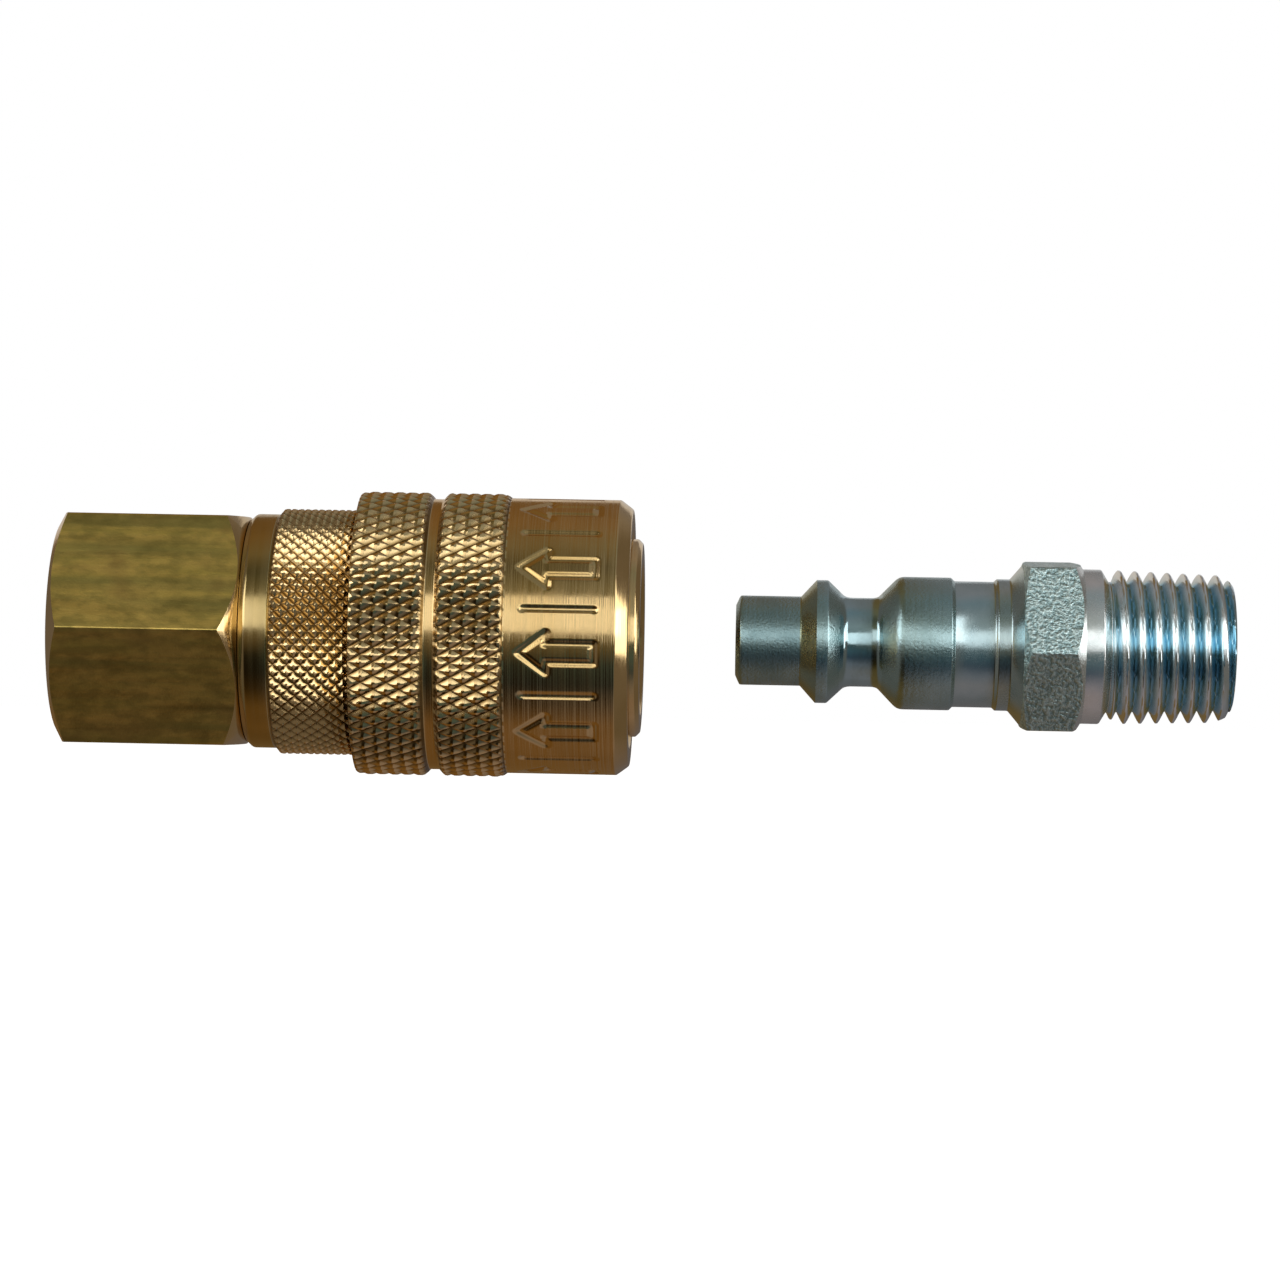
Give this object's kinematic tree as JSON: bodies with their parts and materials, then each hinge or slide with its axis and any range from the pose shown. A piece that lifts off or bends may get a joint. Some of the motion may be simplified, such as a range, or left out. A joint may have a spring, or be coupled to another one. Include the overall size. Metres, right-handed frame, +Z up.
{
  "type": "quick disconnect coupler",
  "caption": "Brass ball-lock air-line socket with a knurled sliding sleeve and pipe port, and its matching zinc-plated steel plug, held in line ready to connect.",
  "frame": {"origin": "centre of the assembly's box, on the coupling axis, with the plug ready in front of the socket", "axes": "+X along the coupling axis from socket to plug, +Z up; the socket's hexagon has flats facing +Z and -Z"},
  "size_m": [0.1028, 0.025, 0.025],
  "materials": {
    "bar_brass": "drawn hexagon bar, lightly stained",
    "turned_brass": "machined, fine turning marks",
    "zinc_steel": "bright zinc plate with a blue tint",
    "ball_steel": "polished",
    "spring_steel": "drawn wire",
    "rubber": "matt"
  },
  "bodies": {
    "socket_body": {"port_adapter": "bar_brass", "front_body": "turned_brass", "body_o_ring": "rubber", "valve_spring": "spring_steel", "plug_seal": "rubber", "seal_washer": "spring_steel", "sleeve_snap_ring": "spring_steel"},
    "valve": {"valve_poppet": "turned_brass", "valve_seal": "rubber"},
    "sleeve_carrier": {"sleeve_spring": "spring_steel"},
    "sleeve": {"locking_sleeve": "turned_brass"},
    "ball_1": {"locking_ball_1": "ball_steel"},
    "ball_2": {"locking_ball_2": "ball_steel"},
    "ball_3": {"locking_ball_3": "ball_steel"},
    "ball_4": {"locking_ball_4": "ball_steel"},
    "ball_5": {"locking_ball_5": "ball_steel"},
    "ball_6": {"locking_ball_6": "ball_steel"},
    "ball_7": {"locking_ball_7": "ball_steel"},
    "ball_8": {"locking_ball_8": "ball_steel"},
    "plug": {"plug": "zinc_steel"}
  },
  "joints": [
    {"name": "sleeve_slide", "type": "slide", "parent": "socket_body", "child": "sleeve_carrier", "axis": [1, 0, 0], "range_m": [0, 0.0028], "deforming": ["sleeve_spring"]},
    {"name": "sleeve_spin", "type": "hinge", "parent": "sleeve_carrier", "child": "sleeve", "pos_m": [0, 0, 0], "axis": [1, 0, 0], "continuous": true},
    {"name": "ball_1_radial", "type": "slide", "parent": "socket_body", "child": "ball_1", "axis": [0, -0.9239, -0.3827], "range_m": [0, 0.0009]},
    {"name": "ball_2_radial", "type": "slide", "parent": "socket_body", "child": "ball_2", "axis": [0, -0.3827, -0.9239], "range_m": [0, 0.0009]},
    {"name": "ball_3_radial", "type": "slide", "parent": "socket_body", "child": "ball_3", "axis": [0, 0.3827, -0.9239], "range_m": [0, 0.0009]},
    {"name": "ball_4_radial", "type": "slide", "parent": "socket_body", "child": "ball_4", "axis": [0, 0.9239, -0.3827], "range_m": [0, 0.0009]},
    {"name": "ball_5_radial", "type": "slide", "parent": "socket_body", "child": "ball_5", "axis": [0, 0.9239, 0.3827], "range_m": [0, 0.0009]},
    {"name": "ball_6_radial", "type": "slide", "parent": "socket_body", "child": "ball_6", "axis": [0, 0.3827, 0.9239], "range_m": [0, 0.0009]},
    {"name": "ball_7_radial", "type": "slide", "parent": "socket_body", "child": "ball_7", "axis": [0, -0.3827, 0.9239], "range_m": [0, 0.0009]},
    {"name": "ball_8_radial", "type": "slide", "parent": "socket_body", "child": "ball_8", "axis": [0, -0.9239, 0.3827], "range_m": [0, 0.0009]},
    {"name": "plug_insert", "type": "slide", "parent": "socket_body", "child": "plug", "axis": [-1, 0, 0], "range_m": [0, 0.0322]},
    {"name": "valve_open", "type": "slide", "parent": "socket_body", "child": "valve", "axis": [-1, 0, 0], "range_m": [0, 0.0025], "deforming": ["valve_spring"]}
  ],
  "couplings": [
    {"joint": "ball_1_radial", "follows": "sleeve_slide", "ratio": 0.3214},
    {"joint": "ball_2_radial", "follows": "sleeve_slide", "ratio": 0.3214},
    {"joint": "ball_3_radial", "follows": "sleeve_slide", "ratio": 0.3214},
    {"joint": "ball_4_radial", "follows": "sleeve_slide", "ratio": 0.3214},
    {"joint": "ball_5_radial", "follows": "sleeve_slide", "ratio": 0.3214},
    {"joint": "ball_6_radial", "follows": "sleeve_slide", "ratio": 0.3214},
    {"joint": "ball_7_radial", "follows": "sleeve_slide", "ratio": 0.3214},
    {"joint": "ball_8_radial", "follows": "sleeve_slide", "ratio": 0.3214},
    {"joint": "valve_open", "follows": "plug_insert", "ratio": 0.0776}
  ]
}
